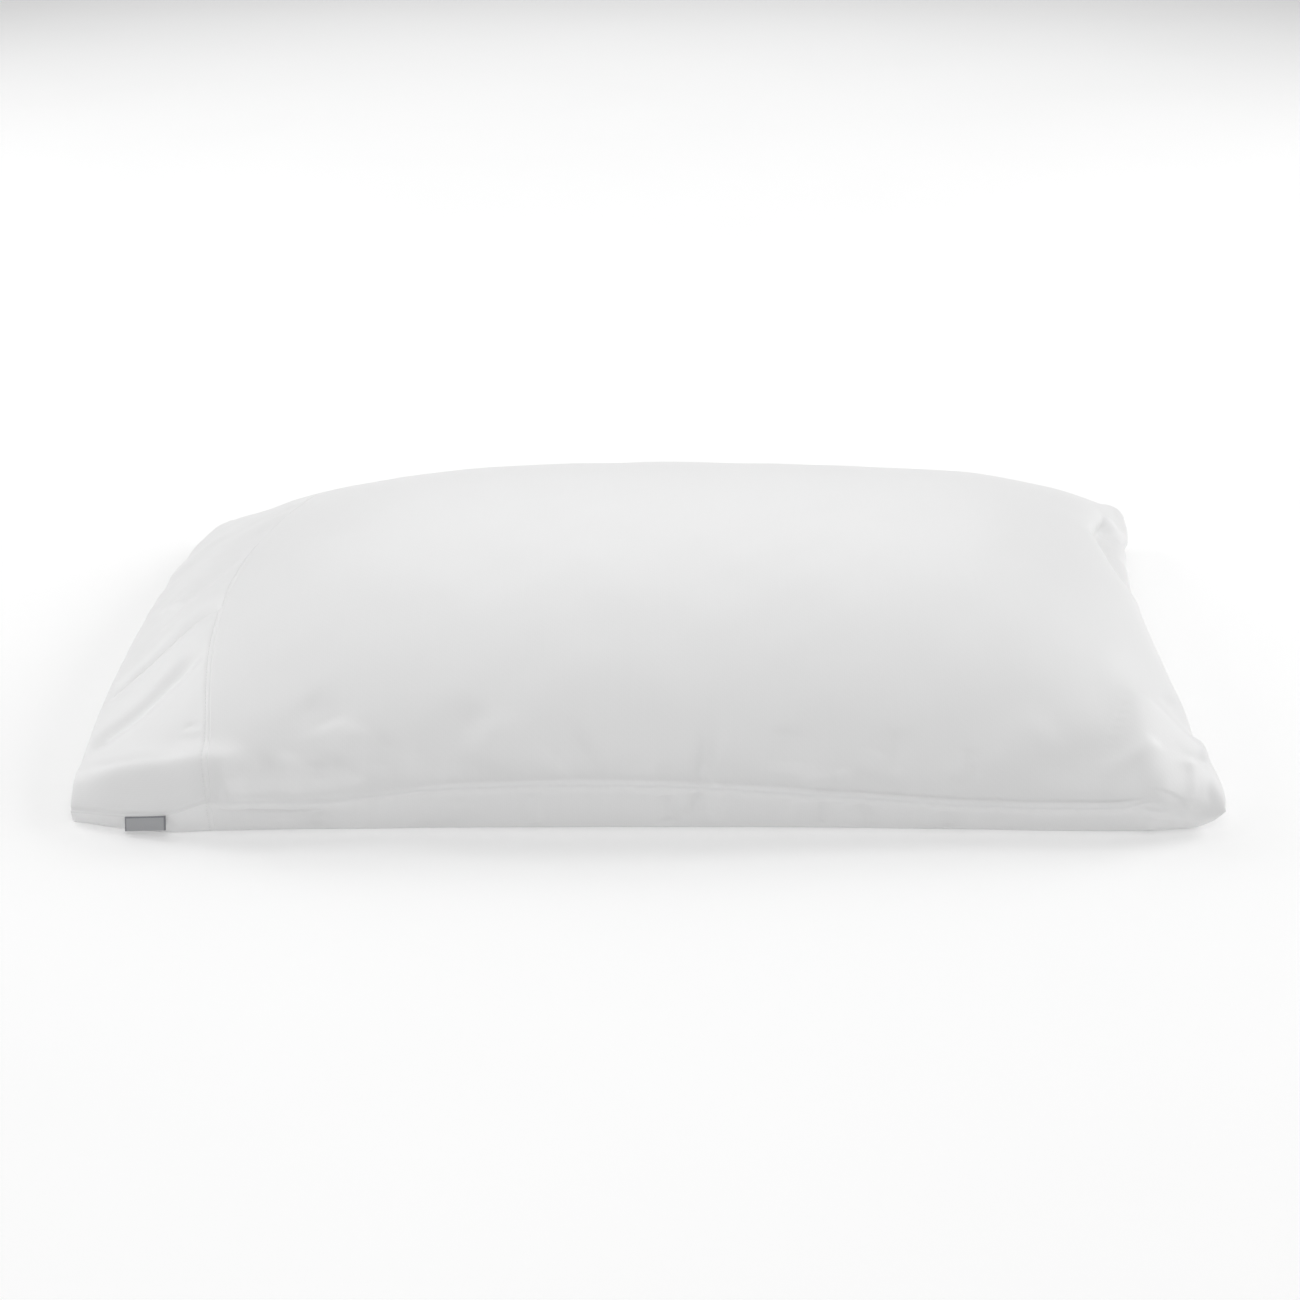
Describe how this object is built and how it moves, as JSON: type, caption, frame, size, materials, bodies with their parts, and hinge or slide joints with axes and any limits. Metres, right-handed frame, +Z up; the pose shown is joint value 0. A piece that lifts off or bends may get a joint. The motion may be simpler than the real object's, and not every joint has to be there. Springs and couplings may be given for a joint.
{
  "type": "pillowcase",
  "caption": "White sateen bed pillowcase on its pillow, lying flat, with a wide set-on cuff at its open mouth and a small blank side label.",
  "frame": {"origin": "middle of the underside's bounding box, on the surface that the part lies on", "axes": "+X from the open mouth to the closed end, +Y from the labelled long side to the other, +Z up out of the crown"},
  "size_m": [0.713, 0.487, 0.1231],
  "materials": {
    "white_sateen": "bleached cotton sateen with a soft sheen",
    "cuff_sateen": "bleached cotton sateen, doubled",
    "grey_label": "silver-grey woven satin ribbon, blank"
  },
  "bodies": {
    "root": {"case_body": "white_sateen", "cuff": "cuff_sateen", "label": "grey_label"}
  },
  "joints": []
}
